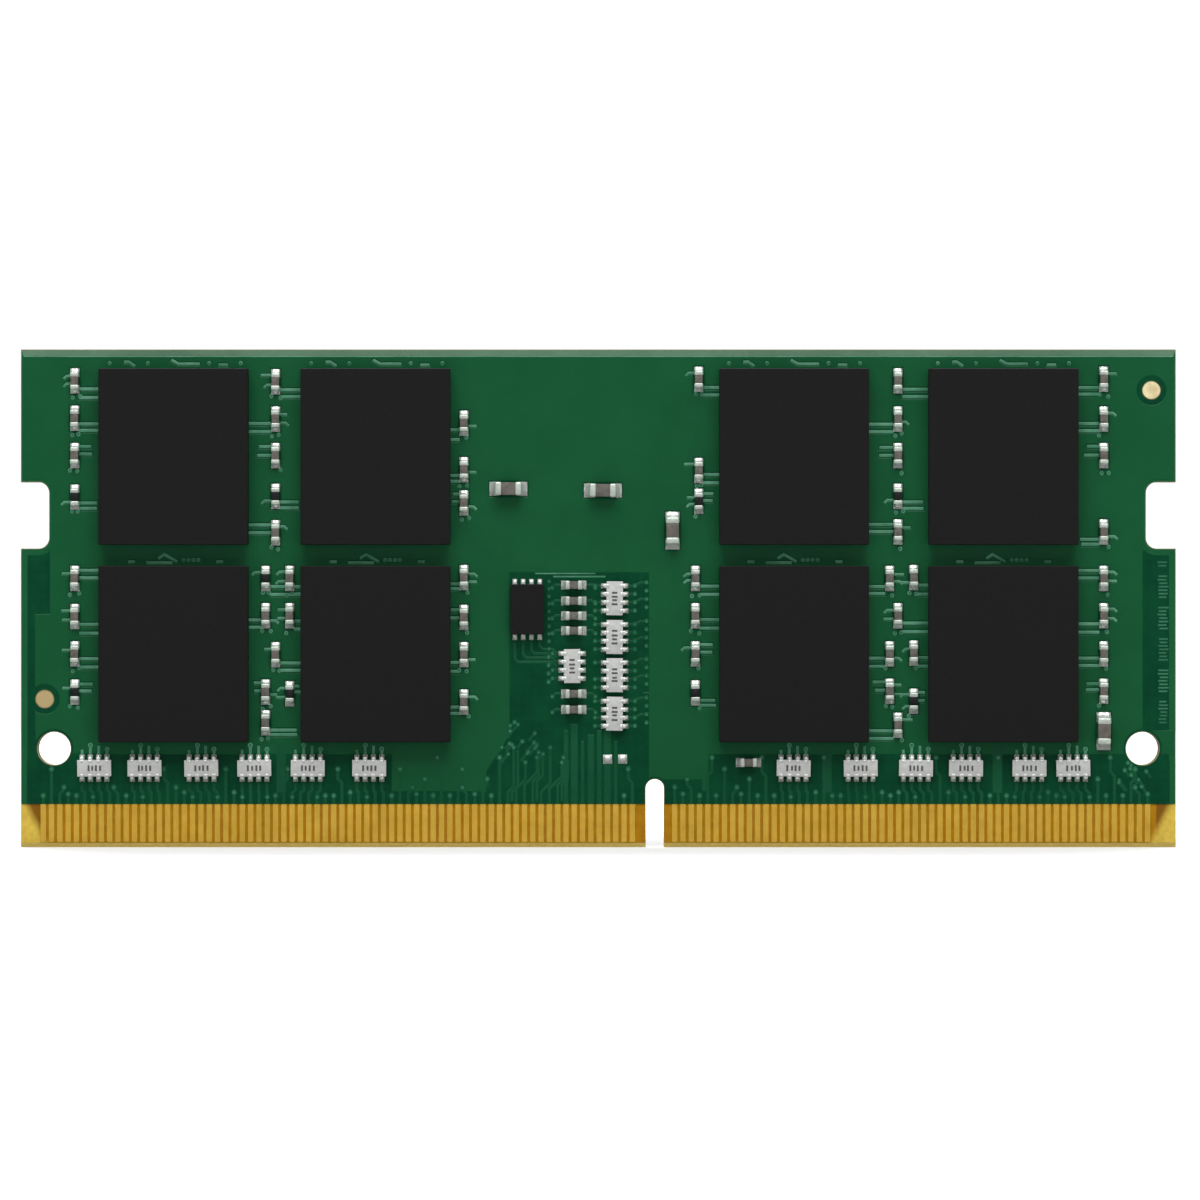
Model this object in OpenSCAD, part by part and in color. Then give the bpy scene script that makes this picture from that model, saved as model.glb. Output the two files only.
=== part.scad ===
// Small-outline memory module: a thin laminated board with an edge connector,
// sixteen memory packages, a configuration chip and its surface-mounted parts.
// X runs along the board, +Z is up and away from the contacts, the front faces -Y.
// The origin is the middle of the bottom contact edge, half way through the board.

/* [Board] */
// Length of the board
board_w = 69.6; // [69.6:0.1:72]
// Height of the board, from the contact edge to the top edge
board_h = 30; // [30:0.1:32]
// Thickness of the board over its contacts
board_t = 1.2; // [1:0.05:1.6]
// Height of the latch notches' middle above the contact edge
notch_z = 20; // [19:0.1:21]
// Height of a latch notch
notch_h = 4; // [3:0.1:4.4]
// Depth of the left latch notch
notch_depth_left = 1.7; // [1.4:0.1:1.9]
// Depth of the right latch notch
notch_depth_right = 1.8; // [1.4:0.1:1.9]
// Radius of the latch notches' inner corners
notch_r = 0.65; // [0.3:0.05:1]
// Middle of the key notch along the board
key_x = 3.4; // [3.2:0.05:3.5]
// Width of the key notch
key_w = 1.1; // [1:0.05:1.3]
// Height of the key notch
key_h = 4.1; // [3.6:0.1:4.6]
// Distance of the tooling holes from the middle of the board
tooling_x = 32.8; // [32.7:0.1:32.9]
// Height of the tooling holes above the contact edge
tooling_z = 5.95; // [5.8:0.05:6.2]
// Diameter of the tooling holes
tooling_d = 2; // [1.6:0.1:2.1]

/* [Edge contacts] */
// Distance from one contact to the next
contact_pitch = 0.5; // [0.45:0.01:0.5]
// Width of a contact
contact_w = 0.35; // [0.25:0.05:0.4]
// Number of contacts left of the key, on each side of the board
contacts_left = 72; // [60:1:72]
// Number of contacts right of the key, on each side of the board
contacts_right = 58; // [50:1:58]
// Bare chamfered strip below the contacts
contact_bottom = 0.3; // [0.2:0.05:0.5]
// Height of the solder mask's lower edge, where the contacts end
mask_edge_z = 2.6; // [2.4:0.1:2.8]

/* [Memory packages] */
// Width of a package
dram_w = 9; // [8:0.1:9.2]
// Height of a package along the board's Z
dram_h = 10.6; // [10.3:0.1:10.9]
// Thickness of the moulded body
mould_t = 0.73; // [0.6:0.01:0.9]
// Thickness of the package's own small board
substrate_t = 0.15; // [0.1:0.01:0.25]
// Gap that the solder balls hold between package and board
ball_gap = 0.3; // [0.2:0.01:0.4]
// Distance from one ball to the next
ball_pitch = 0.8; // [0.75:0.01:0.8]
// Diameter of a soldered ball at its lands
ball_d = 0.42; // [0.3:0.01:0.5]

/* [Small parts] */
// Length of a small chip capacitor or resistor
small_l = 1; // [0.9:0.05:1.1]
// Width of a small chip part
small_w = 0.5; // [0.4:0.05:0.55]
// Height of a small capacitor
small_cap_t = 0.5; // [0.3:0.05:0.6]
// Height of a small resistor
small_res_t = 0.35; // [0.25:0.05:0.4]
// Length of a bulk capacitor
bulk_l = 1.6; // [1.5:0.05:1.7]
// Width of a bulk capacitor
bulk_w = 0.8; // [0.7:0.05:0.9]
// Height of a bulk capacitor
bulk_t = 0.8; // [0.5:0.05:0.9]
// Length of a four-way resistor array
array_l = 2.05; // [1.95:0.05:2.1]
// Width of a resistor array
array_w = 1; // [0.9:0.05:1.1]
// Height of a resistor array
array_t = 0.4; // [0.3:0.05:0.5]
// Width of the configuration chip
spd_w = 2; // [1.9:0.05:2.1]
// Height of the configuration chip along the board's Z
spd_h = 3; // [2.9:0.05:3.1]
// Thickness of the configuration chip
spd_t = 0.75; // [0.5:0.05:0.8]

/* [Hidden] */
$fn = 48;

half_w = board_w / 2;
half_t = board_t / 2;

// Layers of the board, in millimetres.
copper_t = 0.045;
inner_copper_t = 0.035;
prepreg_t = 0.15;
mask_t = 0.02;
core_half_t = half_t - copper_t - prepreg_t;

// How far each layer stays back from the board's outline.
mask_inset = 0.04;
pour_inset = 0.2;
plane_inset = 0.5;
plane_bottom = 3.4;
land_clearance = 0.12;
hole_clearance = 0.3;
mask_clearance = 0.05;
chamfer_t = 0.1;
over = 1;

// Contacts: the first one on each side of the key, by their middles.
left_first_x = -33.45;
right_first_x = 4.6;

// Memory packages: four columns and two rows on each side.
dram_x = [-25.55, -13.4, 11.77, 24.36];
dram_z = [23.52, 11.65];
dram_places = [for (z = dram_z) for (x = dram_x) [x, z]];
ball_rows = 13;
ball_columns = [-4, -3, -2, 2, 3, 4];
ball_field_w = (max(ball_columns) - min(ball_columns)) * ball_pitch + ball_d;
ball_field_h = (ball_rows - 1) * ball_pitch + ball_d;
die_w = 7;
die_h = 8.8;
die_t = 0.24;

// Chip parts that stand upright, as columns: the middle's X, then each part's Z.
cap_columns = [
    [-31.55, [28.1, 25.85, 23.6, 16.2, 13.9, 11.65]],
    [-20.05, [13.95, 9.35, 7.5]],
    [-19.45, [28.05, 25.8, 23.6, 18.95, 11.6]],
    [-18.6, [16.2, 13.95]],
    [-8.1, [25.55, 22.75, 20.75, 16.25, 13.85, 11.6, 8.75]],
    [5.85, [16.2, 13.95, 11.65]],
    [6.05, [28.2, 22.7]],
    [17.55, [16.2, 11.65, 9.4]],
    [18.05, [28.1, 25.8, 23.6, 19, 13.95, 7.35]],
    [19, [16.25, 11.7]],
    [30.45, [28.2, 25.8, 23.6, 19, 16.2, 13.95, 11.65, 9.4]]
];
res_columns = [
    [-31.55, [21.1, 9.35]],
    [-20.05, [16.2]],
    [-19.45, [21.15]],
    [-18.6, [9.25]],
    [5.85, [9.3]],
    [6.05, [20.85]],
    [18.05, [21.15]],
    [19, [8.8]]
];
// Chip capacitors that lie along X, beside the configuration chip and the contacts.
flat_caps = [
    [-1.48, 15.8], [-1.48, 14.85], [-1.48, 13.95], [-1.48, 13.05],
    [-1.48, 9.25], [-1.48, 8.3], [9.05, 5.1]
];
bulk_caps = [[-5.42, 21.6, 0], [0.27, 21.5, 0], [4.47, 19.08, 90], [30.45, 7, 90]];

// Resistor arrays: one row above the contacts, and the upright ones in the middle.
array_row_z = 4.77;
array_row_x = [
    -30.36, -27.33, -23.91, -20.72, -17.5, -13.8,
    11.76, 15.8, 19.13, 22.14, 25.96, 28.6
];
array_column_x = 0.98;
array_column_z = [15, 12.67, 10.37, 8.05];
array_single = [-1.58, 10.92];
// On the back, the single column repeats the upright arrays that stand above this height.
back_single_from_z = 12;
array_lead_pitch = 0.5;
array_lead_w = 0.3;
array_lead_l = 0.18;

spd_x = -4.28;
spd_z = 14.33;
spare_lands = [[0.56, 5.3], [1.46, 5.3]];
spare_land_w = 0.55;
spare_land_t = 0.03;
fiducials_front = [[33.33, 27.54], [-33.36, 8.93]];
fiducials_back = [for (p = fiducials_front) [-p[0], p[1]]];
fiducial_d = 1.05;
fiducial_mask_d = fiducial_d + 2 * mask_clearance;
fiducial_pour_d = 1.9;

function upright(columns) = [for (c = columns) for (z = c[1]) [c[0], z, 90]];
function flat(places) = [for (p = places) [p[0], p[1], 0]];

small_caps_front = concat(upright(cap_columns), flat(flat_caps));
small_caps_back = concat(upright(cap_columns), flat([[-1.48, 9.25], [-1.48, 8.3], [-9.05, 5.1]]));
small_res = upright(res_columns);
arrays_row = [for (x = array_row_x) [x, array_row_z, 0]];
arrays_front = concat(
    arrays_row,
    [for (z = array_column_z) [array_column_x, z, 90]],
    [[array_single[0], array_single[1], 90]]
);
arrays_back = concat(
    arrays_row,
    [for (z = array_column_z) [array_column_x, z, 90]],
    [for (z = array_column_z) if (z > back_single_from_z) [array_single[0], z, 90]]
);

// Lands of the chip parts: half the distance between a pair, and a land's length and width.
small_land = [small_l / 2 + 0.01, 0.5, small_w + 0.04];
bulk_land = [bulk_l / 2 + 0.04, 0.6, bulk_w + 0.04];
array_land = [array_w / 2 + 0.14, 0.36, 0.3];
spd_land = [spd_h / 2 + 0.16, 0.36, 0.28];

dram_front = [for (i = [1:8]) str("dram_package_front_", i)];
dram_back = [for (i = [1:8]) str("dram_package_back_", i)];

// ---- Frames: each side's parts are drawn flat, with +Z out of the board at its contact surface.
module on_front() translate([0, -half_t, 0]) rotate([90, 0, 0]) children();
module on_back() mirror([0, 1, 0]) on_front() children();
module sheet(low, high) translate([0, 0, low]) linear_extrude(high - low) children();
module at(place) translate([place[0], place[1], 0]) rotate(place[2]) children();

// A block centred on its place, between two heights above the contact surface.
module block(l, w, low, high) translate([-l / 2, -w / 2, low]) cube([l, w, high - low]);

// ---- Outlines
module key_notch(grow) {
    r = key_w / 2 + grow;
    translate([key_x, key_h - key_w / 2]) circle(r);
    translate([key_x - r, -over]) square([2 * r, over + key_h - key_w / 2]);
}

module latch_notch(depth, grow) {
    d = depth + grow;
    h = notch_h + 2 * grow;
    r = notch_r + grow;
    translate([-over, -h / 2]) square([over + d - r, h]);
    translate([-over, r - h / 2]) square([over + d, h - 2 * r]);
    for (s = [-1, 1]) translate([d - r, s * (h / 2 - r)]) circle(r);
}

module latch_notches(grow) {
    translate([-half_w, notch_z]) latch_notch(notch_depth_left, grow);
    mirror([1, 0]) translate([-half_w, notch_z]) latch_notch(notch_depth_right, grow);
}

module tooling_holes(grow) {
    for (s = [-1, 1]) translate([s * tooling_x, tooling_z]) circle(tooling_d / 2 + grow);
}

module board_outline(inset, bottom = 0) {
    difference() {
        translate([inset - half_w, bottom]) square([board_w - 2 * inset, board_h - inset - bottom]);
        key_notch(inset);
        latch_notches(inset);
        tooling_holes(min(inset, hole_clearance));
    }
}

// ---- Lands and the openings around them
module land_pair(land, grow) {
    for (s = [-1, 1]) translate([s * land[0], 0])
        square([land[1] + 2 * grow, land[2] + 2 * grow], center = true);
}

module land_rows(land, grow) {
    for (s = [-1, 1]) for (i = [-1.5:1.5])
        translate([i * array_lead_pitch, s * land[0]])
            square([land[2] + 2 * grow, land[1] + 2 * grow], center = true);
}

// One opening round a whole part: its lands' outer size and a margin.
module land_window(land, grow) {
    square([2 * land[0] + land[1] + 2 * grow, land[2] + 2 * grow], center = true);
}

module row_window(land, grow) {
    square([3 * array_lead_pitch + land[2] + 2 * grow, 2 * land[0] + land[1] + 2 * grow], center = true);
}

module part_windows(small, bulk, arrays, grow) {
    for (p = small) at(p) land_window(small_land, grow);
    for (p = bulk) at(p) land_window(bulk_land, grow);
    for (p = arrays) at(p) row_window(array_land, grow);
}

// One opening under each package, round all of its balls.
module dram_windows(grow) {
    for (p = dram_places) translate(p) square([ball_field_w + 2 * grow, ball_field_h + 2 * grow], center = true);
}

module front_only_windows(grow) {
    translate([spd_x, spd_z]) row_window(spd_land, grow);
    for (p = spare_lands) translate(p) square(spare_land_w + 2 * grow, center = true);
}

module fiducial_discs(places, d) for (p = places) translate(p) circle(d / 2);

module front_windows(grow, round_d) {
    part_windows(concat(small_caps_front, small_res), bulk_caps, arrays_front, grow);
    front_only_windows(grow);
    fiducial_discs(fiducials_front, round_d);
}
module front_pour_windows() front_windows(land_clearance, fiducial_pour_d);
module front_mask_windows() front_windows(mask_clearance, fiducial_mask_d);

module back_windows(grow, round_d) {
    part_windows(concat(small_caps_back, small_res), bulk_caps, arrays_back, grow);
    fiducial_discs(fiducials_back, round_d);
}
module back_pour_windows() back_windows(land_clearance, fiducial_pour_d);
module back_mask_windows() back_windows(mask_clearance, fiducial_mask_d);

// ---- Board layers
module laminate_core() color([0.72, 0.62, 0.3])
    rotate([90, 0, 0]) sheet(-core_half_t, core_half_t) board_outline(0);

module inner_plane() sheet(-copper_t - prepreg_t, -copper_t - prepreg_t + inner_copper_t)
    board_outline(plane_inset, plane_bottom);
module ground_plane() color([0.8, 0.48, 0.3]) on_front() inner_plane();
module power_plane() color([0.82, 0.5, 0.32]) on_back() inner_plane();

// The outer laminate sheet wraps the inner plane and carries the chamfer of the contact edge.
module prepreg() {
    difference() {
        sheet(-copper_t - prepreg_t, -copper_t) board_outline(0);
        inner_plane();
        translate([-half_w - over, 0, 0]) rotate([90, 0, 90]) linear_extrude(board_w + 2 * over)
            polygon([[-over, -chamfer_t - copper_t], [0, -chamfer_t - copper_t],
                [contact_bottom, -copper_t], [contact_bottom, over], [-over, over]]);
    }
}
module prepreg_front() color([0.76, 0.66, 0.34]) on_front() prepreg();
module prepreg_back() color([0.76, 0.66, 0.34]) on_back() prepreg();

// Copper is left out of the side strips, the middle block, the band above the contacts
// and a narrow strip along the top edge.
// Each zone is [left, bottom, right, top].
bare_zones = [
    [-half_w, 14, -33, 17.9],
    [-half_w, 0, -33.9, 14],
    [32.75, 7, half_w, 17.9],
    [-5.4, 0, 3.1, 16.6],
    [-half_w, 0, -12.4, 5.65],
    [6.6, 0, half_w, 5.65],
    [-half_w, board_h - 0.46, half_w, board_h]
];
module bare_areas() for (zone = bare_zones)
    translate([zone[0], zone[1]]) square([zone[2] - zone[0], zone[3] - zone[1]]);

module pour_outline() {
    difference() {
        board_outline(pour_inset, mask_edge_z + pour_inset);
        bare_areas();
        dram_windows(land_clearance);
        children();
    }
}
module copper_pour_front() color([0.15, 0.42, 0.26])
    on_front() sheet(-copper_t, 0) pour_outline() front_pour_windows();
module copper_pour_back() color([0.15, 0.42, 0.26])
    on_back() sheet(-copper_t, 0) pour_outline() back_pour_windows();

module mask_outline() {
    difference() {
        board_outline(mask_inset, mask_edge_z);
        dram_windows(mask_clearance);
        children();
    }
}
module solder_mask_front() color([0.1, 0.36, 0.2]) on_front() difference() {
    sheet(-copper_t, mask_t) mask_outline() front_mask_windows();
    sheet(-copper_t, 0) pour_outline() front_pour_windows();
}
module solder_mask_back() color([0.1, 0.36, 0.2]) on_back() difference() {
    sheet(-copper_t, mask_t) mask_outline() back_mask_windows();
    sheet(-copper_t, 0) pour_outline() back_pour_windows();
}

module ball_grid() {
    for (row = [0:ball_rows - 1]) for (column = ball_columns)
        translate([column * ball_pitch, (row - (ball_rows - 1) / 2) * ball_pitch]) children();
}

module lands(small, bulk, arrays) {
    for (p = small) at(p) land_pair(small_land, 0);
    for (p = bulk) at(p) land_pair(bulk_land, 0);
    for (p = arrays) at(p) land_rows(array_land, 0);
}
module copper_lands_front() color([0.85, 0.72, 0.4]) on_front() sheet(-copper_t, 0) {
    lands(concat(small_caps_front, small_res), bulk_caps, arrays_front);
    translate([spd_x, spd_z]) land_rows(spd_land, 0);
}
module copper_lands_back() color([0.85, 0.72, 0.4]) on_back() sheet(-copper_t, 0)
    lands(concat(small_caps_back, small_res), bulk_caps, arrays_back);

module spare_lands() color([0.86, 0.88, 0.86]) on_front()
    for (p = spare_lands) translate(p) block(spare_land_w, spare_land_w, -copper_t, spare_land_t);

module fiducials() color([0.86, 0.72, 0.36]) {
    on_front() sheet(-copper_t, 0) fiducial_discs(fiducials_front, fiducial_d);
    on_back() sheet(-copper_t, 0) fiducial_discs(fiducials_back, fiducial_d);
}

// ---- Edge contacts
module contact_row(first_x, count) {
    for (i = [0:count - 1])
        translate([first_x + i * contact_pitch - contact_w / 2, contact_bottom, -copper_t])
            cube([contact_w, mask_edge_z - contact_bottom, copper_t]);
}
module edge_contacts_front_left() color([0.83, 0.63, 0.22])
    on_front() contact_row(left_first_x, contacts_left);
module edge_contacts_front_right() color([0.83, 0.63, 0.22])
    on_front() contact_row(right_first_x, contacts_right);
module edge_contacts_back_left() color([0.83, 0.63, 0.22])
    on_back() contact_row(left_first_x, contacts_left);
module edge_contacts_back_right() color([0.83, 0.63, 0.22])
    on_back() contact_row(right_first_x, contacts_right);

// ---- Memory packages
substrate_low = ball_gap;
mould_low = substrate_low + substrate_t;
mould_high = mould_low + mould_t;

// A moulded body is cast over its die, so it has the die's pocket in its underside.
module mould(place) translate(place) difference() {
    block(dram_w, dram_h, mould_low, mould_high);
    block(die_w, die_h, mould_low - over, mould_low + die_t);
}
module dram_package_front(i) color([0.13, 0.13, 0.13]) on_front() mould(dram_places[i]);
module dram_package_back(i) color([0.13, 0.13, 0.13]) on_back() mould(dram_places[i]);

module substrates() for (p = dram_places) translate(p) block(dram_w, dram_h, substrate_low, mould_low);
module package_substrates_front() color([0.2, 0.3, 0.2]) on_front() substrates();
module package_substrates_back() color([0.2, 0.3, 0.2]) on_back() substrates();

module dies() for (p = dram_places) translate(p) block(die_w, die_h, mould_low, mould_low + die_t);
module silicon_dies_front() color([0.45, 0.47, 0.52]) on_front() dies();
module silicon_dies_back() color([0.45, 0.47, 0.52]) on_back() dies();

module balls() for (p = dram_places) translate(p) ball_grid()
    translate([0, 0, -copper_t]) cylinder(d = ball_d, h = copper_t + ball_gap);
module solder_balls_front() color([0.75, 0.77, 0.78]) on_front() balls();
module solder_balls_back() color([0.75, 0.77, 0.78]) on_back() balls();

// ---- Configuration chip
spd_stand = 0.02;
spd_lead_out = 0.24;
spd_lead_w = 0.24;
spd_lead_t = 0.2;
module spd_chip_body() color([0.13, 0.13, 0.13]) on_front() translate([spd_x, spd_z])
    block(spd_w, spd_h, spd_stand, spd_t);
module spd_chip_leads() color([0.82, 0.84, 0.84]) on_front() translate([spd_x, spd_z])
    for (s = [-1, 1]) for (i = [-1.5:1.5])
        translate([i * array_lead_pitch, s * (spd_h + spd_lead_out) / 2])
            block(spd_lead_w, spd_lead_out, 0, spd_lead_t);

// ---- Resistor arrays: a ceramic body with four leads along each long side
array_stand = 0.03;
array_lead_drop = 0.05;
module array_body() block(array_l, array_w, array_stand, array_t);
module array_leads() for (s = [-1, 1]) for (i = [-1.5:1.5])
    translate([i * array_lead_pitch, s * (array_w + array_lead_l) / 2])
        block(array_lead_w, array_lead_l, 0, array_t - array_lead_drop);
module resistor_array_bodies_front() color([0.8, 0.8, 0.79])
    on_front() for (p = arrays_front) at(p) array_body();
module resistor_array_bodies_back() color([0.8, 0.8, 0.79])
    on_back() for (p = arrays_back) at(p) array_body();
module resistor_array_leads_front() color([0.82, 0.84, 0.84])
    on_front() for (p = arrays_front) at(p) array_leads();
module resistor_array_leads_back() color([0.82, 0.84, 0.84])
    on_back() for (p = arrays_back) at(p) array_leads();

// ---- Two-terminal chip parts: a ceramic body between two metal ends
end_step = 0.02;
small_band = 0.26;
bulk_band = 0.4;
module chip_body(l, w, t, band) block(l - 2 * band, w - 2 * end_step, end_step, t - end_step);
module chip_ends(l, w, t, band) for (s = [-1, 1]) translate([s * (l - band) / 2, 0]) block(band, w, 0, t);
module small_bodies(places, t) for (p = places) at(p) chip_body(small_l, small_w, t, small_band);
module small_terminals(places, t) for (p = places) at(p) chip_ends(small_l, small_w, t, small_band);

module capacitor_bodies_front() color([0.5, 0.44, 0.38])
    on_front() small_bodies(small_caps_front, small_cap_t);
module capacitor_bodies_back() color([0.5, 0.44, 0.38])
    on_back() small_bodies(small_caps_back, small_cap_t);
module capacitor_terminals_front() color([0.82, 0.84, 0.84])
    on_front() small_terminals(small_caps_front, small_cap_t);
module capacitor_terminals_back() color([0.82, 0.84, 0.84])
    on_back() small_terminals(small_caps_back, small_cap_t);
module resistor_bodies_front() color([0.1, 0.1, 0.1]) on_front() small_bodies(small_res, small_res_t);
module resistor_bodies_back() color([0.1, 0.1, 0.1]) on_back() small_bodies(small_res, small_res_t);
module resistor_terminals_front() color([0.82, 0.84, 0.84])
    on_front() small_terminals(small_res, small_res_t);
module resistor_terminals_back() color([0.82, 0.84, 0.84])
    on_back() small_terminals(small_res, small_res_t);

module both_sides() {
    on_front() children();
    on_back() children();
}
module bulk_capacitor_bodies() color([0.5, 0.44, 0.38])
    both_sides() for (p = bulk_caps) at(p) chip_body(bulk_l, bulk_w, bulk_t, bulk_band);
module bulk_capacitor_terminals() color([0.82, 0.84, 0.84])
    both_sides() for (p = bulk_caps) at(p) chip_ends(bulk_l, bulk_w, bulk_t, bulk_band);

// ---- Solder joints: a wedge on each land, against the end of its terminal
joint_toe = 0.04;
joint_side = 0.01;
// How far up its terminal the solder reaches, as a share of the part's height.
small_rise = 0.7;
bulk_rise = 0.6;
array_rise = 0.5;
spd_joint_h = 0.12;
module fillet(from, to, w, height) translate([0, w / 2, 0]) rotate([90, 0, 0]) linear_extrude(w)
    polygon([[from, 0], [to, 0], [to, joint_toe], [from, height]]);
module fillet_pair(l, land, w, height) for (a = [0, 180]) rotate(a)
    fillet(l / 2, land[0] + land[1] / 2, w, height);
module fillet_rows(out, land, height) for (a = [90, 270]) rotate(a) for (i = [-1.5:1.5])
    translate([0, i * array_lead_pitch, 0])
        fillet(out, land[0] + land[1] / 2, land[2] - 2 * joint_side, height);

module joints(caps, resistors, arrays) {
    for (p = caps) at(p) fillet_pair(small_l, small_land, small_w, small_cap_t * small_rise);
    for (p = resistors) at(p) fillet_pair(small_l, small_land, small_w, small_res_t * small_rise);
    for (p = bulk_caps) at(p) fillet_pair(bulk_l, bulk_land, bulk_w, bulk_t * bulk_rise);
    for (p = arrays) at(p) fillet_rows(array_w / 2 + array_lead_l, array_land, array_t * array_rise);
}
module solder_joints_front() color([0.86, 0.88, 0.86]) on_front() {
    joints(small_caps_front, small_res, arrays_front);
    translate([spd_x, spd_z]) fillet_rows(spd_h / 2 + spd_lead_out, spd_land, spd_joint_h);
}
module solder_joints_back() color([0.86, 0.88, 0.86]) on_back()
    joints(small_caps_back, small_res, arrays_back);

laminate_core();
ground_plane();
power_plane();
prepreg_front();
prepreg_back();
copper_pour_front();
copper_pour_back();
copper_lands_front();
copper_lands_back();
solder_mask_front();
solder_mask_back();
edge_contacts_front_left();
edge_contacts_front_right();
edge_contacts_back_left();
edge_contacts_back_right();
fiducials();
spare_lands();
package_substrates_front();
package_substrates_back();
silicon_dies_front();
silicon_dies_back();
solder_balls_front();
solder_balls_back();
spd_chip_body();
spd_chip_leads();
resistor_array_bodies_front();
resistor_array_bodies_back();
resistor_array_leads_front();
resistor_array_leads_back();
capacitor_bodies_front();
capacitor_bodies_back();
capacitor_terminals_front();
capacitor_terminals_back();
resistor_bodies_front();
resistor_bodies_back();
resistor_terminals_front();
resistor_terminals_back();
bulk_capacitor_bodies();
bulk_capacitor_terminals();
solder_joints_front();
solder_joints_back();
for (i = [0:7]) {
    dram_package_front(i);
    dram_package_back(i);
}
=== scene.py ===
"""Laptop memory module: detailed surfaces, small parts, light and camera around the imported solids.

Lengths are in millimetres until a mesh is made. On each face of the board, u runs along X,
v runs along Z and w runs out of the board from its contact surface.
"""
import math
import random

import bmesh
import bpy
from mathutils import Matrix, Vector, geometry


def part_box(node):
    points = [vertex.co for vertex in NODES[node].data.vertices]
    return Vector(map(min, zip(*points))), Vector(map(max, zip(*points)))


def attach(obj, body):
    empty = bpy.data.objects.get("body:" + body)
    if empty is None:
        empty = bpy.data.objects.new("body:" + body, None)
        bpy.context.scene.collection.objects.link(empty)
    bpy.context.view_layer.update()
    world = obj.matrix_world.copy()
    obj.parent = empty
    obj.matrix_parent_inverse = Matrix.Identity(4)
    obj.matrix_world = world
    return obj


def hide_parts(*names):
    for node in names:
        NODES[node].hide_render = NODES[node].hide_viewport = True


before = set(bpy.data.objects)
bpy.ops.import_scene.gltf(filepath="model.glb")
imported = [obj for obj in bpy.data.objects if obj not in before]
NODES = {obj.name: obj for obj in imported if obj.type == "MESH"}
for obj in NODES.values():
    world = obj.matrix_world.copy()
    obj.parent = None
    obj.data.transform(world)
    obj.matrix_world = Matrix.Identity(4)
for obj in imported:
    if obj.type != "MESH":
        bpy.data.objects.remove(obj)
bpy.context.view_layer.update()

MM = 0.001
SIDES = {"front": -1, "back": 1}
rng = random.Random(7)

# ---- measures taken from the frame

contact_lo, contact_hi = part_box("edge_contacts_front_left")
mask_lo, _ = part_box("solder_mask_front")
core_lo, core_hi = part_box("laminate_core")
HALF_T = -contact_lo.y / MM
COPPER_T = (contact_hi.y - contact_lo.y) / MM
MASK_TOP = -mask_lo.y / MM - HALF_T
MASK_EDGE_Z = mask_lo.z / MM
CONTACT_BOTTOM = contact_lo.z / MM
BOARD_W = (core_hi.x - core_lo.x) / MM
BOARD_H = core_hi.z / MM

# Relief of the solder mask over copper, the run of its slopes, and the copper lines' and vias' sizes.
RELIEF = 0.016
SLOPE = 0.04
FEED_W = 0.11
FINE_W = 0.09
MARK_W = 0.06
TRACE_GAP = 0.13
VIA_R = 0.11
SMALL_VIA_R = 0.09
WIDE_VIA_R = 0.12

# Strips of the mask that look different: along the sides, and along the top, where it carries a
# painted highlight.
EDGE_STRIP = 0.36
RIM_H = 0.6

# Chip parts: the leads' spacing, four leads' places off their middle, and the metal ends' lengths.
LEAD_PITCH = 0.5
LEADS = [(i - 1.5) * LEAD_PITCH for i in range(4)]
SMALL_BAND = 0.26
BULK_BAND = 0.4

# How far the block of dense lines runs out to the left and right of the upright arrays' middles.
BLOCK_LEFT = 4.0
BLOCK_RIGHT = 0.3

# The lines at that block's foot: how high they reach, and how wide the thin ones' share is.
FOOT_TOP = 7.2
THIN_SHARE = 3.3

# What the mask lies on, as places in its list of materials. Three are painted highlights: a lighter
# green on lit ridges and cut-free lines, on vias and ticks, and along the top edge.
POUR, BARE, LINE, RIDGE_HIGHLIGHT, EDGE, SOFT_HIGHLIGHT, TOP_EDGE_HIGHLIGHT = range(7)


def islands(node):
    """A node's separate solids, each as its side and its low and high corner, in millimetres."""
    mesh = NODES[node].data
    spots = {}
    of = [spots.setdefault(tuple(round(c, 7) for c in v.co), len(spots)) for v in mesh.vertices]
    parent = list(range(len(spots)))

    def root(i):
        while parent[i] != i:
            parent[i] = parent[parent[i]]
            i = parent[i]
        return i

    for polygon in mesh.polygons:
        first = root(of[polygon.vertices[0]])
        for i in polygon.vertices[1:]:
            parent[root(of[i])] = first
    groups = {}
    for spot, i in spots.items():
        groups.setdefault(root(i), []).append(spot)
    found = []
    for points in groups.values():
        side = -1 if points[0][1] < 0 else 1
        local = [(x / MM, z / MM, side * y / MM - HALF_T) for x, y, z in points]
        low, high = [Vector([pick(axis) for axis in zip(*local)]) for pick in (min, max)]
        found.append((side, low, high))
    return sorted(found, key=lambda f: (f[0], round(f[1].x, 3), round(f[1].y, 3)))


def signed_area(loop):
    return sum(a[0] * b[1] - b[0] * a[1] for a, b in zip(loop, loop[1:] + loop[:1])) / 2


def without_straight_points(loop):
    kept = []
    for i, p in enumerate(loop):
        a, b = loop[i - 1], loop[(i + 1) % len(loop)]
        turn = (p[0] - a[0]) * (b[1] - p[1]) - (p[1] - a[1]) * (b[0] - p[0])
        if abs(turn) > 1e-6:
            kept.append(p)
    return kept


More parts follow.
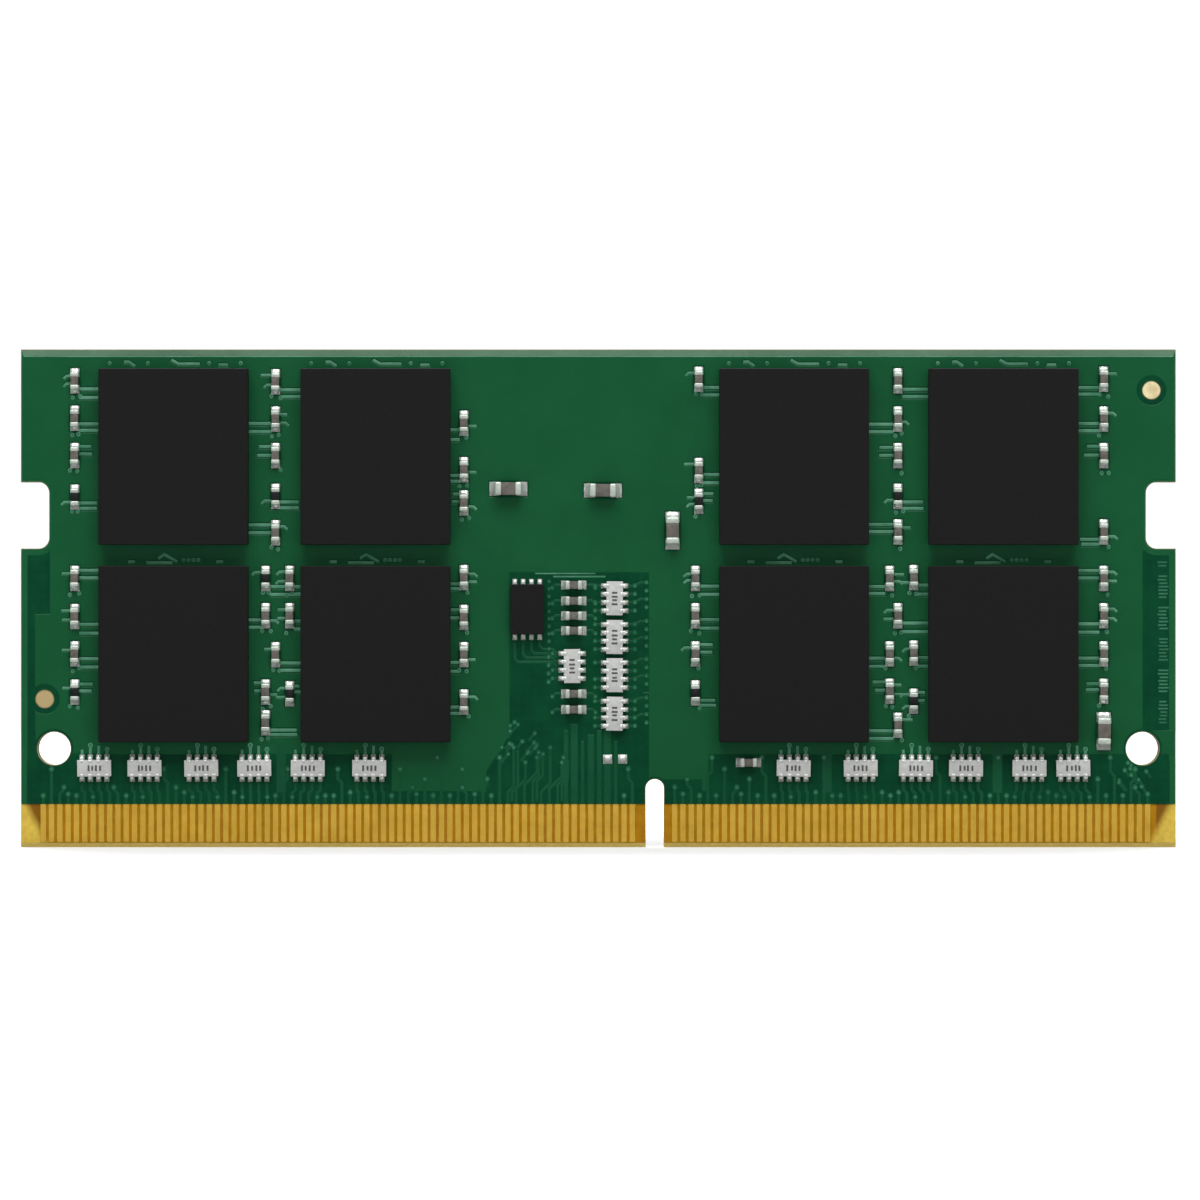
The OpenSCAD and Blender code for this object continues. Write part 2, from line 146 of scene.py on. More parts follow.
def face_loops(node, side):
    """Outlines of a node's outer face on one side: outer loops run anticlockwise, holes clockwise."""
    mesh = NODES[node].data
    outer_y = max(v.co.y * side for v in mesh.vertices)
    edges = {}
    for polygon in mesh.polygons:
        if polygon.normal.y * side < 0.9 or abs(polygon.center.y * side - outer_y) > 1e-6:
            continue
        ring = [mesh.vertices[i].co for i in polygon.vertices]
        ring = [(round(c.x / MM, 4), round(c.z / MM, 4)) for c in ring]
        for a, b in zip(ring, ring[1:] + ring[:1]):
            edges[(a, b)] = True
    nexts = {}
    for a, b in edges:
        if (b, a) not in edges:
            nexts.setdefault(a, []).append(b)
    loops = []
    while nexts:
        start = next(iter(nexts))
        loop, here = [], start
        while here in nexts:
            loop.append(here)
            following = nexts[here].pop()
            if not nexts[here]:
                del nexts[here]
            here = following
        loops.append(loop if side < 0 else loop[::-1])
    return [without_straight_points(loop) for loop in loops if len(loop) > 2]


# ---- flat shapes, as lists of points

def disc(u, v, r, steps=16):
    return [(u + r * math.cos(2 * math.pi * i / steps), v + r * math.sin(2 * math.pi * i / steps))
            for i in range(steps)]


def rectangle(u0, v0, u1, v1):
    return [(u0, v0), (u1, v0), (u1, v1), (u0, v1)]


def round_rectangle(u0, v0, u1, v1, r, steps=3):
    corners = [(u1 - r, v1 - r, 0), (u0 + r, v1 - r, 90), (u0 + r, v0 + r, 180), (u1 - r, v0 + r, 270)]
    points = []
    for cu, cv, start in corners:
        for i in range(steps + 1):
            a = math.radians(start + 90 * i / steps)
            points.append((cu + r * math.cos(a), cv + r * math.sin(a)))
    return points


def stroke(path, width):
    """Outline of a line of that width along a path, with square ends and mitred corners."""
    half = width / 2
    points = [Vector(p) for p in path]
    steps = [(b - a).normalized() for a, b in zip(points, points[1:])]
    left, right = [], []
    for i, p in enumerate(points):
        before, after = steps[max(i - 1, 0)], steps[min(i, len(steps) - 1)]
        along = (before + after).normalized()
        across = Vector((-along.y, along.x)) * half / max(0.5, along.dot(after))
        if i == 0:
            p = p - along * half
        if i == len(points) - 1:
            p = p + along * half
        left.append(tuple(p + across))
        right.append(tuple(p - across))
    return right + left[::-1]


def offset(loop, distance):
    """Moves a loop to its left, which is into the material that it bounds."""
    moved = []
    for i, p in enumerate(loop):
        a, b = Vector(loop[i - 1]), Vector(loop[(i + 1) % len(loop)])
        p = Vector(p)
        before, after = (p - a).normalized(), (b - p).normalized()
        n1, n2 = Vector((-before.y, before.x)), Vector((-after.y, after.x))
        moved.append(tuple(p + (n1 + n2) * distance / max(0.4, 1 + n1.dot(n2))))
    return moved


# ---- copper artwork under the solder mask

class Artwork:
    """Overlapping flat shapes with tags, cut into triangles that know which shapes hold them."""

    def __init__(self):
        self.points, self.faces, self.tags = [], [], []

    def add(self, loop, tag):
        if signed_area(loop) < 0:
            loop = loop[::-1]
        first = len(self.points)
        self.points += [Vector(p) for p in loop]
        self.faces.append(list(range(first, len(self.points))))
        self.tags.append(tag)

    def raise_up(self, grown, gap):
        """Copper whose outline can be grown; with a gap it is cut free of the area around it."""
        if gap:
            self.add(grown(gap - SLOPE), "gap")
            self.add(grown(gap), "gap_top")
        self.add(grown(SLOPE), "trace")
        self.add(grown(0), "trace_top")

    def trace(self, path, width, gap=0.0, look=None):
        # A look of "bright" paints a highlight along the line, and "soft" paints a soft highlight.
        if look:
            self.add(stroke(path, width), look)
        self.raise_up(lambda length: stroke(path, width + 2 * length), gap)

    def via(self, u, v, r, gap=0.0):
        self.raise_up(lambda length: disc(u, v, r + length), gap)
        # A lighter disc on the via: a painted soft highlight.
        self.add(disc(u, v, r * 0.75), "soft")
        self.add(disc(u, v, r * 0.45, 10), "dimple")

    def triangles(self):
        """The points, and each triangle with the tags of the shapes that hold it."""
        points, _, triangles, _, _, sources = geometry.delaunay_2d_cdt(
            self.points, [], self.faces, 1, 1e-5, True)
        tags = [{self.tags[i] for i in source} for source in sources]
        return points, zip(triangles, tags)


def mask_kind(tags, on_slope, near_top):
    """What a triangle of the mask lies on, or which painted highlight it gets."""
    # Vias and ticks get a lighter green: a painted soft highlight.
    if "soft" in tags:
        return SOFT_HIGHLIGHT
    # Lines cut free of the copper area, and lines drawn bright, get a lighter green: a painted
    # highlight of their lit edges.
    if "trace" in tags:
        return RIDGE_HIGHLIGHT if "gap" in tags or "bright" in tags else LINE
    # The copper area's slopes near the top edge get the same painted highlight.
    if "pour" in tags and "pour_gap" not in tags and "gap" not in tags:
        return RIDGE_HIGHLIGHT if on_slope and near_top else POUR
    if "inland" in tags:
        return BARE
    # The bare strip along the top edge gets a lighter green, a painted highlight; along the sides it
    # keeps the mask's own colour.
    return TOP_EDGE_HIGHLIGHT if near_top else EDGE


def at_top(tags):
    poured = "pour_top" in tags and "pour_gap_top" not in tags and "gap_top" not in tags
    return (poured or "trace_top" in tags) and "dimple" not in tags


def world_point(side, u, v, w):
    return Vector((u, side * (HALF_T + w), v)) * MM


def add_to_scene(name, data):
    made = bpy.data.objects.new(name, data)
    bpy.context.scene.collection.objects.link(made)
    return made


def make_object(name, vertices, faces, materials, face_materials, angle):
    """A piece on the board, smooth but for edges that turn by more than the angle in degrees."""
    mesh = bpy.data.meshes.new(name)
    mesh.from_pydata(vertices, [], faces)
    for material in materials:
        mesh.materials.append(material)
    mesh.polygons.foreach_set("material_index", face_materials)
    mesh.polygons.foreach_set("use_smooth", [True] * len(mesh.polygons))
    mesh.set_sharp_from_angle(angle=math.radians(angle))
    mesh.validate()
    mesh.update()
    made = add_to_scene(name, mesh)
    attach(made, "root")
    return made


def mask_object(name, side, art, materials):
    """A closed sheet of solder mask that drapes over the copper artwork, with its openings."""
    points, triangles = art.triangles()
    kept = [(t, tags) for t, tags in triangles if "mask" in tags and "opening" not in tags]
    high = {i for triangle, tags in kept if at_top(tags) for i in triangle}
    used = sorted({i for triangle, _ in kept for i in triangle})
    order = {i: k for k, i in enumerate(used)}
    count = len(used)
    tops = [world_point(side, points[i].x, points[i].y, MASK_TOP - (0 if i in high else RELIEF))
            for i in used]
    bottoms = [world_point(side, points[i].x, points[i].y, -COPPER_T) for i in used]
    faces, face_materials, edges = [], [], {}
    for triangle, tags in kept:
        a, b, c = (order[i] for i in triangle)
        faces.append((a, b, c))
        faces.append((a + count, c + count, b + count))
        mixed = 0 < len(high.intersection(triangle)) < 3
        lowest_v = min(points[i].y for i in triangle)
        kind = mask_kind(tags, mixed, lowest_v > BOARD_H - RIM_H)
        face_materials += [kind, kind]
        for edge in ((a, b), (b, c), (c, a)):
            edges[edge] = kind
    for (a, b), kind in edges.items():
        if (b, a) not in edges:
            faces.append((b, a, a + count, b + count))
            face_materials.append(kind)
    if side > 0:
        faces = [tuple(reversed(face)) for face in faces]
    return make_object(name, tops + bottoms, faces, materials, face_materials, angle=12)


# ---- solid templates, in millimetres

def rounded_block(l, w, h, r, segments=2):
    """A block with rounded edges, standing on w = 0 at the middle of its base."""
    bm = bmesh.new()
    bmesh.ops.create_cube(bm, size=1)
    for v in bm.verts:
        v.co = Vector((v.co.x * l, v.co.y * w, (v.co.z + 0.5) * h))
    bmesh.ops.bevel(bm, geom=bm.edges[:], offset=r, segments=segments, profile=0.5, affect="EDGES")
    bmesh.ops.recalc_face_normals(bm, faces=bm.faces[:])
    bm.verts.index_update()
    vertices = [v.co.copy() for v in bm.verts]
    faces = [tuple(v.index for v in f.verts) for f in bm.faces]
    bm.free()
    return vertices, faces


def grid_solid(rows):
    """A closed solid under a sheet of points: rows of the top surface, over a flat base."""
    n, m = len(rows), len(rows[0])
    top = [p for row in rows for p in row]
    base = [Vector((p.x, p.y, 0)) for p in top]
    total = n * m
    faces = []
    for i in range(n - 1):
        for j in range(m - 1):
            a, b, c, d = i * m + j, i * m + j + 1, (i + 1) * m + j + 1, (i + 1) * m + j
            faces.append((a, d, c, b))
            faces.append((a + total, b + total, c + total, d + total))
    rim = list(range(m)) + [i * m + m - 1 for i in range(1, n)]
    rim += [(n - 1) * m + j for j in range(m - 2, -1, -1)] + [i * m for i in range(n - 2, 0, -1)]
    for a, b in zip(rim, rim[1:] + rim[:1]):
        faces.append((a, b, b + total, a + total))
    return top + base, faces


def fillet(length, width, height, toe=0.035, lengthwise=6, across=8):
    """Solder drawn up against a terminal: it starts at u = 0 at its full height and thins outwards."""
    rows = []
    for i in range(lengthwise + 1):
        s = i / lengthwise
        rise = toe + (height - toe) * (1 - s) ** 2.2
        half = width / 2 * (1 - 0.5 * s ** 4)
        row = []
        for j in range(across + 1):
            t = 2 * j / across - 1
            row.append(Vector((length * s, half * t, rise * (1 - 0.75 * abs(t) ** 3))))
        rows.append(row)
    return grid_solid(rows)


def dome(length, width, height, rings=4, steps=14):
    """A small pool of solder, centred on its base."""
    vertices, faces = [Vector((0, 0, height))], []
    for i in range(1, rings + 1):
        a = math.pi / 2 * i / rings
        for j in range(steps):
            b = 2 * math.pi * j / steps
            vertices.append(Vector((length / 2 * math.sin(a) * math.cos(b),
                                    width / 2 * math.sin(a) * math.sin(b),
                                    height * math.cos(a))))
    for j in range(steps):
        k = (j + 1) % steps
        faces.append((0, 1 + j, 1 + k))
        for i in range(rings - 1):
            p, q = 1 + i * steps, 1 + (i + 1) * steps
            faces.append((p + j, q + j, q + k, p + k))
    last = 1 + (rings - 1) * steps
    faces.append(tuple(last + j for j in reversed(range(steps))))
    return vertices, faces


def barrel(r_end, r_middle, height, rings=6, steps=12):
    """A reflowed ball: a short barrel on w = 0."""
    vertices, faces = [], []
    for i in range(rings + 1):
        s = i / rings
        r = r_end + (r_middle - r_end) * math.sin(math.pi * s) ** 0.8
        vertices += [Vector((x, y, height * s)) for x, y in disc(0, 0, r, steps)]
    for i in range(rings):
        for j in range(steps):
            k = (j + 1) % steps
            p, q = i * steps, (i + 1) * steps
            faces.append((p + j, p + k, q + k, q + j))
    faces.append(tuple(reversed(range(steps))))
    faces.append(tuple(rings * steps + j for j in range(steps)))
    return vertices, faces


def finger(width, length, height, r=0.07, bevel=0.025):
    """A plated contact from v = 0 upwards: rounded lower corners and a softened upper rim."""
    outline = [(-width / 2, length), (-width / 2, r)]
    for i in range(1, 5):
        a = math.radians(180 + 90 * i / 4)
        outline.append((r - width / 2 + r * math.cos(a), r + r * math.sin(a)))
    outline += [(-u, v) for u, v in reversed(outline)]
    outline = outline[::-1] if signed_area(outline) < 0 else outline
    inner = offset(outline, bevel)
    n = len(outline)
    vertices = [Vector((u, v, 0)) for u, v in outline]
    vertices += [Vector((u, v, height - bevel)) for u, v in outline]
    vertices += [Vector((u, v, height)) for u, v in inner]
    faces = [tuple(reversed(range(n))), tuple(2 * n + i for i in range(n))]
    for i in range(n):
        k = (i + 1) % n
        faces.append((i, k, k + n, i + n))
        faces.append((i + n, k + n, k + 2 * n, i + 2 * n))
    return vertices, faces


class Batch:
    """Many copies of templates, gathered into one object."""

    def __init__(self):
        self.vertices, self.faces, self.kinds = [], [], []

    def add(self, template, side, u, v, w=0.0, turn=0.0, kind=0):
        vertices, faces = template
        first = len(self.vertices)
        spin = Matrix.Rotation(turn, 3, "Z")
        for p in vertices:
            q = spin @ p
            self.vertices.append(world_point(side, u + q.x, v + q.y, w + q.z))
        for face in faces:
            face = tuple(first + i for i in face)
            self.faces.append(face if side < 0 else tuple(reversed(face)))
            self.kinds.append(kind)

    def put(self, template, part, along=0.0, across=0.0, w=0.0, turn=0.0, kind=0):
        """Adds a copy at a point in a part's own directions."""
        u, v = part.spot(along, across)
        self.add(template, part.side, u, v, w, part.turn + turn, kind)

    def finish(self, name, materials, angle=35):
        return make_object(name, self.vertices, self.faces, materials, self.kinds, angle)


# ---- materials

class Shading:
    """A material's or the world's nodes, with short ways to make the usual ones."""

    def __init__(self, owner, shader, coordinates):
        owner.use_nodes = True
        self.nodes, self.links = owner.node_tree.nodes, owner.node_tree.links
        self.shader = self.nodes[shader]
        self.place = self.nodes.new("ShaderNodeTexCoord").outputs[coordinates]

    def set(self, socket, value):
        self.plug(self.shader.inputs[socket], value)

    def plug(self, socket, value):
        """Feeds a socket from another node, or gives it a plain value."""
        if isinstance(value, bpy.types.NodeSocket):
            self.links.new(value, socket)
        else:
            socket.default_value = value

    def node(self, kind, output, inputs, **settings):
        """Adds a node with its inputs and settings, and gives back one of its outputs."""
        made = self.nodes.new(kind)
        for key, value in settings.items():
            setattr(made, key, value)
        for key, value in inputs.items():
            self.plug(made.inputs[key], value)
        return made.outputs[output]

    def noise(self, per_mm, detail=3.0, rough=0.55, stretch=None):
        place = self.place
        if stretch:
            place = self.node("ShaderNodeMapping", "Vector", {"Vector": place, "Scale": stretch})
        return self.node("ShaderNodeTexNoise", "Fac", {
            "Vector": place, "Scale": per_mm / MM, "Detail": detail, "Roughness": rough})

    def cells(self, per_mm):
        return self.node("ShaderNodeTexVoronoi", "Distance", {
            "Vector": self.place, "Scale": per_mm / MM})

    def wave(self, per_mm, direction, distortion=0.5):
        return self.node("ShaderNodeTexWave", "Fac", {
            "Vector": self.place, "Scale": per_mm / MM, "Distortion": distortion, "Detail": 1.0,
        }, bands_direction=direction)

    def math(self, operation, a, b=0.0):
        return self.node("ShaderNodeMath", "Value", {0: a, 1: b}, operation=operation)

    def between(self, factor, low, high):
        """Maps 0..1 to low..high."""
        return self.node("ShaderNodeMapRange", "Result", {
            "Value": factor, "To Min": low, "To Max": high})

    def share(self, value, start, end):
        """How far a length has come from start to end in millimetres, as 0..1."""
        return self.node("ShaderNodeMapRange", "Result", {
            "Value": value, "From Min": start * MM, "From Max": end * MM})

    def ramp(self, factor, *stops):
        made = self.nodes.new("ShaderNodeValToRGB")
        self.links.new(factor, made.inputs["Fac"])
        ramp = made.color_ramp
        while len(ramp.elements) < len(stops):
            ramp.elements.new(0.5)
        for element, (position, colour) in zip(ramp.elements, stops):
            element.position = position
            element.color = (*colour, 1.0)
        return made.outputs["Color"]

    def mix(self, factor, a, b):
        made = self.nodes.new("ShaderNodeMix")
        made.data_type = "RGBA"
        for name, value in (("Factor", factor), ("A", a), ("B", b)):
            socket = next(s for s in made.inputs if s.name == name and s.enabled)
            self.plug(socket, (*value, 1.0) if isinstance(value, tuple) else value)
        return next(s for s in made.outputs if s.enabled)

    def rough(self, grain, low, high):
        self.set("Roughness", self.between(grain, low, high))

    def bump(self, height, depth):
        """Bump from a height of 0..1 that stands for depth millimetres."""
        relief = {"Height": height, "Distance": depth * MM}
        self.set("Normal", self.node("ShaderNodeBump", "Normal", relief))

    def axis(self, name):
        return self.node("ShaderNodeSeparateXYZ", name, {"Vector": self.place})


class Surface(Shading):
    """A new material with the usual shader."""

    def __init__(self, name, roughness=0.5, metallic=0.0, specular=0.5):
        self.material = bpy.data.materials.new(name)
        super().__init__(self.material, "Principled BSDF", "Object")
        self.set("Roughness", roughness)
        self.set("Metallic", metallic)
        self.set("Specular IOR Level", specular)


def mask_material(name, dark, light, roughness=0.38, cloud=0.35):
    """Green solder mask: slightly cloudy, with a fine orange-peel surface."""
    s = Surface(name, specular=0.1)
    colour = s.ramp(s.noise(cloud, 4.0), (0.35, dark), (0.65, light))
    shade = tuple(c * 0.55 for c in dark)
    s.set("Base Color", s.mix(s.between(s.noise(5.0, 2.0), 0.0, 0.2), colour, shade))
    s.rough(s.noise(2.2, 2.0), roughness - 0.06, roughness + 0.08)
    s.bump(s.noise(1.4, 3.0), 0.004)
    return s.material


def bare_mask_material():
    """Mask straight on the laminate: darker, with the glass cloth's weave just showing."""
    s = Surface("mask_over_laminate", specular=0.05)
    weave = s.math("MULTIPLY", s.wave(0.55, "X"), s.wave(0.55, "Z"))
    colour = s.ramp(s.noise(0.6, 3.0), (0.3, (0.0, 0.028, 0.012)), (0.7, (0.0005, 0.041, 0.0145)))
    s.set("Base Color", s.mix(s.between(weave, 0.0, 0.25), colour, (0.001, 0.05, 0.02)))
    s.rough(s.noise(2.0, 2.0), 0.36, 0.5)
    s.bump(s.math("ADD", weave, s.noise(4.0, 2.0)), 0.002)
    return s.material


def laminate_material():
    """Glass-fibre laminate: yellow, and brown between the contacts where the inner plane shows."""
    s = Surface("glass_fibre_laminate", roughness=0.55, specular=0.08)
    x, y, z = s.axis("X"), s.axis("Y"), s.axis("Z")
    fibres = s.noise(3.5, 3.0, stretch=(1, 6, 1))
    layers = s.wave(1.6, "Y", 0.3)
    tan = s.ramp(fibres, (0.3, (0.2, 0.172, 0.085)), (0.7, (0.28, 0.245, 0.125)))
    pale = s.ramp(fibres, (0.3, (0.33, 0.25, 0.068)), (0.7, (0.425, 0.325, 0.085)))
    chamfered = s.math("LESS_THAN", z, CONTACT_BOTTOM * MM)
    edge = s.mix(chamfered, s.mix(s.between(layers, 0.0, 0.4), tan, (0.1, 0.088, 0.04)), pale)
    yellow = s.ramp(fibres, (0.3, (0.36, 0.25, 0.035)), (0.7, (0.46, 0.33, 0.05)))
    brown = s.ramp(s.noise(2.0), (0.3, (0.215, 0.097, 0.0004)), (0.7, (0.28, 0.128, 0.0008)))
    # Beside the outer contacts the brown ends on a slant, which runs out towards the board's ends.
    from_end = s.math("SUBTRACT", BOARD_W / 2 * MM, s.math("ABSOLUTE", x))
    from_mask = s.math("SUBTRACT", MASK_EDGE_Z * MM, z)
    slant = s.math("SUBTRACT", from_end, s.math("MULTIPLY", from_mask, 0.5))
    browned = s.share(slant, 0.1, 0.6)
    beyond = s.math("LESS_THAN", from_end, BOARD_W / 2 * MM + contact_lo.x)
    brown = s.mix(s.math("MULTIPLY", beyond, 0.75), brown, (0.1, 0.04, 0.002))
    face = s.math("GREATER_THAN", s.math("ABSOLUTE", y), (HALF_T - COPPER_T) * MM - 1e-5)
    uncovered = s.math("MULTIPLY", face, s.math("GREATER_THAN", from_mask, -0.1 * MM))
    s.set("Base Color", s.mix(uncovered, edge, s.mix(browned, yellow, brown)))
    s.rough(fibres, 0.45, 0.7)
    s.bump(fibres, 0.01)
    return s.material


def metal_material(name, dark, light, roughness, metallic=1.0, per_mm=1.2, depth=0.004,
                   stretch=(1, 1, 1)):
    s = Surface(name, metallic=metallic)
    grain = s.noise(per_mm * 6, 3.0, stretch=stretch)
    cloud = s.noise(per_mm, 3.0)
    tone = s.math("ADD", s.math("MULTIPLY", cloud, 0.6), s.math("MULTIPLY", grain, 0.4))
    s.set("Base Color", s.ramp(tone, (0.32, dark), (0.68, light)))
    s.rough(grain, roughness - 0.08, roughness + 0.1)
    s.bump(grain, depth)
    return s.material


def fiducial_material():
    """Pale gold that is duller on the side of the board where X is negative."""
    s = Surface("fiducial_gold", metallic=0.4)
    across = s.share(s.axis("X"), -BOARD_W / 2, BOARD_W / 2)
    colour = s.ramp(across, (0.1, (0.42, 0.33, 0.16)), (0.9, (0.78, 0.7, 0.42)))
    s.set("Base Color", s.mix(s.between(s.noise(1.6), -0.4, 1.1), colour, (0.42, 0.3, 0.13)))
    s.rough(s.noise(6.0), 0.34, 0.5)
    s.bump(s.noise(8.0), 0.004)
    return s.material


def speckled_material(name, dark, light, roughness, per_mm, depth, specular=0.4):
    s = Surface(name, specular=specular)
    specks = s.noise(per_mm, 4.0, 0.7)
    s.set("Base Color", s.ramp(specks, (0.3, dark), (0.7, light)))
    s.rough(s.noise(per_mm * 0.4), roughness - 0.05, roughness + 0.07)
    s.bump(specks, depth)
    return s.material


def silicon_material():
    s = Surface("polished_silicon", roughness=0.15, metallic=0.6)
    s.set("Base Color", s.ramp(s.cells(1.5), (0.0, (0.18, 0.2, 0.25)), (0.5, (0.3, 0.32, 0.38))))
    s.bump(s.noise(8.0), 0.001)
    return s.material


def studio_material():
    s = Surface("studio_paper", roughness=0.9, specular=0.1)
    s.set("Base Color", s.ramp(s.noise(0.02), (0.3, (0.6, 0.6, 0.6)), (0.7, (0.62, 0.62, 0.62))))
    return s.material


# Rows of values for mask_material, metal_material and speckled_material, in their parameters' order.
MASKS = (
    ("mask_over_copper", (0.0018, 0.057, 0.018), (0.0027, 0.063, 0.0207)),
    ("mask_over_line", (0.002, 0.05, 0.019), (0.003, 0.062, 0.024)),
    # Painted highlight: a lighter green for lit ridges and cut-free lines.
    ("mask_over_ridge", (0.03, 0.13, 0.07), (0.07, 0.2, 0.125), 0.3, 0.8),
    # Painted soft highlight on vias and ticks.
    ("mask_over_via", (0.01, 0.085, 0.04), (0.03, 0.135, 0.075), 0.3),
    ("mask_at_edge", (0.003, 0.062, 0.021), (0.005, 0.07, 0.025)),
    # Painted highlight along the top edge.
    ("mask_at_top_edge", (0.06, 0.125, 0.078), (0.08, 0.15, 0.098)),
)
METALS = (
    ("contact_gold", (0.61, 0.365, 0.035), (0.78, 0.49, 0.067), 0.4, 0.6, 1.0, 0.004, (6, 6, 1)),
    ("inner_copper", (0.5, 0.2, 0.1), (0.7, 0.32, 0.18), 0.45),
    ("land_metal", (0.4, 0.4, 0.36), (0.6, 0.6, 0.55), 0.4, 0.7),
    ("bright_solder", (0.6, 0.64, 0.61), (0.8, 0.83, 0.8), 0.3, 0.72, 1.6, 0.012),
    ("dull_terminal", (0.37, 0.42, 0.37), (0.53, 0.6, 0.53), 0.44, 0.5, 2.0, 0.01),
    ("tinned_terminal", (0.5, 0.53, 0.5), (0.72, 0.75, 0.72), 0.42, 0.5, 2.0, 0.01),
)
SPECKLED = (
    ("capacitor_ceramic", (0.055, 0.048, 0.04), (0.105, 0.096, 0.082), 0.45, 4.0, 0.006),
    ("array_ceramic", (0.288, 0.292, 0.284), (0.376, 0.38, 0.372), 0.4, 3.0, 0.005),
    ("array_mark", (0.03, 0.03, 0.03), (0.08, 0.075, 0.075), 0.6, 6.0, 0.002),
    ("resistor_coating", (0.004, 0.004, 0.004), (0.01, 0.01, 0.011), 0.3, 3.0, 0.004),
    ("moulding_compound", (0.005, 0.0048, 0.0048), (0.008, 0.0074, 0.0074), 0.62, 9.0, 0.006, 0.12),
    ("package_laminate", (0.008, 0.03, 0.016), (0.015, 0.048, 0.024), 0.5, 4.0, 0.004),
)
M = {
    "mask_over_laminate": bare_mask_material(),
    "laminate": laminate_material(),
    "fiducial_gold": fiducial_material(),
    "silicon": silicon_material(),
}
for make, rows in ((mask_material, MASKS), (metal_material, METALS), (speckled_material, SPECKLED)):
    for row in rows:
        M[row[0]] = make(*row)
MASK_MATERIALS = [M["mask_" + place] for place in (
    "over_copper", "over_laminate", "over_line", "over_ridge", "at_edge", "over_via", "at_top_edge")]


def dress(node, key, bevel=0.0):
    """Gives a CAD node its material and, where asked, softened edges in millimetres."""
    thing = NODES[node]
    thing.data.materials.clear()
    thing.data.materials.append(M[key])
    if bevel:
        weld = thing.modifiers.new("weld", "WELD")
        weld.merge_threshold = 1e-6
        soft = thing.modifiers.new("soft_edges", "BEVEL")
        soft.width = bevel * MM
        soft.segments = 3
        soft.limit_method = "ANGLE"
        soft.angle_limit = math.radians(40)


# ---- the parts' places

class Part:
    """A chip part or an array that fills a box: its side, middle, size and a slight placing error."""

    def __init__(self, side, low, high, upright, height):
        size, m = high - low, (low + high) / 2
        self.side, self.u, self.v, self.upright = side, m.x, m.y, upright
        self.length, self.width = (size.y, size.x) if upright else (size.x, size.y)
        self.height = height
        self.turn = (math.pi / 2 if upright else 0) + rng.uniform(-0.02, 0.02)

    def spot(self, along, across=0.0):
        """A point in the part's own directions."""
        p = Matrix.Rotation(self.turn, 2) @ Vector((along, across))
        return self.u + p.x, self.v + p.y


def middle(box):
    return (box[1] + box[2]) / 2


def chip_parts(body_node, terminal_node):
    """Each body and its two ends, as one part."""
    ends = islands(terminal_node)
    found = []
    for body in islands(body_node):
        same_side = [end for end in ends if end[0] == body[0]]
        a, b = sorted(same_side, key=lambda end: (middle(end).xy - middle(body).xy).length)[:2]
        gap = middle(a) - middle(b)
        low = Vector([min(pair) for pair in zip(a[1], b[1])])
        high = Vector([max(pair) for pair in zip(a[2], b[2])])
        found.append(Part(body[0], low, high, abs(gap.y) > abs(gap.x), high.z - low.z))
    return found


def array_parts(body_node):
    return [Part(side, low, high, high.y - low.y > high.x - low.x, high.z)
            for side, low, high in islands(body_node)]


def land_reach(part, lands):
    """How far a part's land runs out past the end of the part."""
    end = Vector(part.spot(part.length / 2))
    same_side = [land for land in lands if land[0] == part.side]
    _, low, high = min(same_side, key=lambda land: (middle(land).xy - end).length)
    k, centre = (1, part.v) if part.upright else (0, part.u)
    return max(high[k] - centre, centre - low[k]) - part.length / 2


def add_fillets(joints, part, reach, rise):
    """The solder at both ends of a two-terminal part, which it reaches under a little."""
    under = 0.02
    for s in (-1, 1):
        joint = fillet(reach + under, part.width * 1.08, part.height * rise * rng.uniform(0.85, 1.1))
        joints.put(joint, part, s * (part.length / 2 - under), turn=0 if s > 0 else math.pi)


def two_terminal_pieces(name, parts, band, rounding, nodes, slot):
    """Ceramic bodies and the metal ends that wrap round them."""
    bodies, ends = Batch(), Batch()
    cover, edge = 0.02, 0.03
    for part in parts:
        body = rounded_block(part.length - band, part.width - 2 * cover, part.height - 2 * cover, edge)
        end = rounded_block(band, part.width, part.height, rounding, 3)
        bodies.put(body, part, w=cover)
        for s in (-1, 1):
            ends.put(end, part, s * (part.length - band) / 2)
    body_piece = bodies.finish(name + "_ceramic", [M[slot]])
    end_piece = ends.finish(name + "_ends", [M["dull_terminal"]], 50)
    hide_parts(nodes[0])
    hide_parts(nodes[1])


